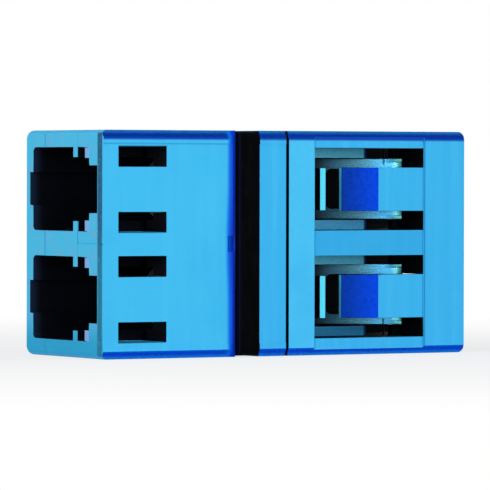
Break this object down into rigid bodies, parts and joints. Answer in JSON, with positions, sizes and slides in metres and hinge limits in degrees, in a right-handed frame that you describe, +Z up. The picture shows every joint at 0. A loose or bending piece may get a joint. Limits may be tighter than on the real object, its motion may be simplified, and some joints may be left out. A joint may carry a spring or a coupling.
{
  "type": "lc fibre adapter",
  "caption": "LC adapter that aligns fibre plugs end to end, in a blue plastic housing with latch windows, a panel ring and a sprung inner shutter in each rear port.",
  "frame": {"origin": "centre of the bottom of the bounding box, on the narrow side that the adapter stands on", "axes": "+X along the plugs towards the shuttered rear ports, -Y out of the latch face, +Z up through the stacked ports"},
  "size_m": [0.0242, 0.0094, 0.013],
  "materials": {
    "housing_blue": "moulded, satin",
    "ring_rubber": "smooth black",
    "holder_plastic": "moulded, dark grey",
    "sleeve_zirconia": "ground ceramic",
    "shutter_steel": "stamped, blued",
    "pin_steel": "drawn, blackened",
    "spring_wire": "drawn wire, blackened"
  },
  "bodies": {
    "housing": {"front_housing": "housing_blue", "rear_housing": "housing_blue", "seal_ring": "ring_rubber", "front_sleeve_holder": "holder_plastic", "rear_sleeve_holder": "holder_plastic", "lower_sleeve": "sleeve_zirconia", "upper_sleeve": "sleeve_zirconia"},
    "lower_shutter_leaf": {"lower_shutter": "shutter_steel", "lower_shutter_outer_pin": "pin_steel", "lower_shutter_inner_pin": "pin_steel", "lower_shutter_spring": "spring_wire"},
    "upper_shutter_leaf": {"upper_shutter": "shutter_steel", "upper_shutter_outer_pin": "pin_steel", "upper_shutter_inner_pin": "pin_steel", "upper_shutter_spring": "spring_wire"}
  },
  "joints": [
    {"name": "lower_shutter_hinge", "type": "hinge", "parent": "housing", "child": "lower_shutter_leaf", "pos_m": [0.01017, -0.00135, 0.00337], "axis": [0, 0, 1], "range_deg": [0, 46], "stiffness_Nm_per_rad": 0.0002, "springref_deg": -28.65},
    {"name": "upper_shutter_hinge", "type": "hinge", "parent": "housing", "child": "upper_shutter_leaf", "pos_m": [0.01017, -0.00135, 0.00962], "axis": [0, 0, 1], "range_deg": [0, 46], "stiffness_Nm_per_rad": 0.0002, "springref_deg": -28.65}
  ]
}
